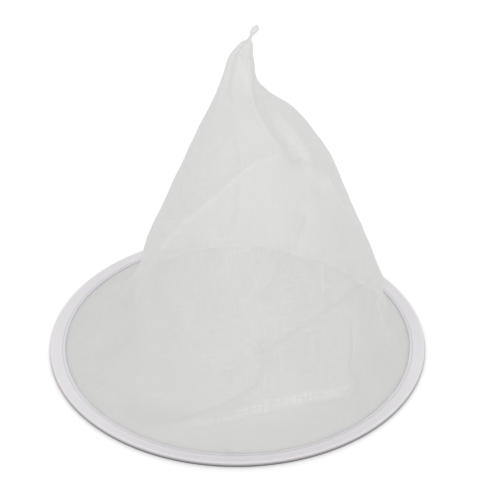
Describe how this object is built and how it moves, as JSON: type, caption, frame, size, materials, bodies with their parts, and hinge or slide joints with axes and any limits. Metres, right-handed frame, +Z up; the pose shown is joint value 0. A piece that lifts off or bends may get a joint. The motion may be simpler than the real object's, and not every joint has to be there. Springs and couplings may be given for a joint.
{
  "type": "nylon filter bag",
  "caption": "Cone of fine translucent nylon mesh, seamed and pinched shut at its tip, with its open mouth bound in tape round a hidden wire hoop. Strains drinks, milk or soup.",
  "frame": {"origin": "middle of the hoop, on the flat surface that the rim rests on", "axes": "+Z up from the open mouth to the closed tip, +Y to the back where the seam is, +X to the right as the picture shows it"},
  "size_m": [0.3, 0.3, 0.252],
  "materials": {
    "wire": "plain drawn spring wire",
    "binding_tape": "matt woven polyester bias tape, white with a slight lavender cast, one row of stitching",
    "mesh_cloth": "fine translucent plain-weave nylon mesh, warm white, soft folds"
  },
  "bodies": {
    "root": {"rim_hoop": "wire", "rim_binding": "binding_tape", "mesh_bag": "mesh_cloth"}
  },
  "joints": []
}
